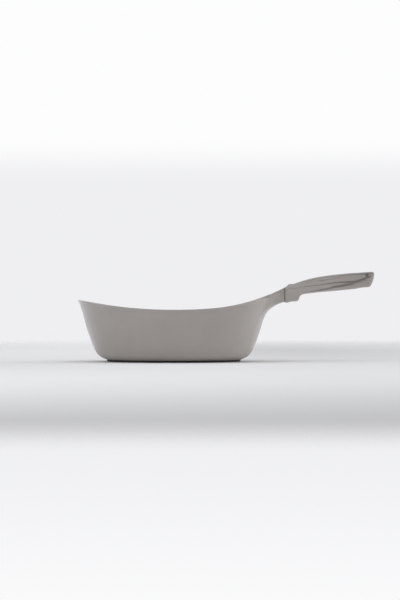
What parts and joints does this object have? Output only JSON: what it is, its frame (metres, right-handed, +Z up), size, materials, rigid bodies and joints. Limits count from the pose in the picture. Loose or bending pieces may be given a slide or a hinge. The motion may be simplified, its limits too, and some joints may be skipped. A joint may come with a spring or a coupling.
{
  "type": "wok",
  "caption": "Deep cast wok with a flat base, a flared wall, a rim that dips midway and sweeps up into a lug, and a long moulded handle with a hanging slot.",
  "frame": {"origin": "centre of the base, on the plane that the wok stands on", "axes": "+X from the middle of the bowl towards the handle, +Y across, square to the plane of symmetry, +Z up"},
  "size_m": [0.4586, 0.285, 0.1392],
  "materials": {
    "coating": "satin stone-grey non-stick coating over cast aluminium, inside and outside",
    "disc_steel": "rolled magnetic stainless steel, lightly brushed",
    "phenolic": "matte warm grey moulded resin with a darker wood-grain print towards the tail",
    "seal": "black silicone",
    "screw_steel": "plain stainless",
    "flat_washer_steel": "plain stainless",
    "spring_washer_steel": "plain stainless",
    "insert_steel": "plain stainless"
  },
  "bodies": {
    "root": {"wok_body": "coating", "induction_disc": "disc_steel", "handle_grip": "phenolic", "handle_gasket": "seal", "handle_screw": "screw_steel", "flat_washer": "flat_washer_steel", "spring_washer": "spring_washer_steel", "thread_insert": "insert_steel"}
  },
  "joints": []
}
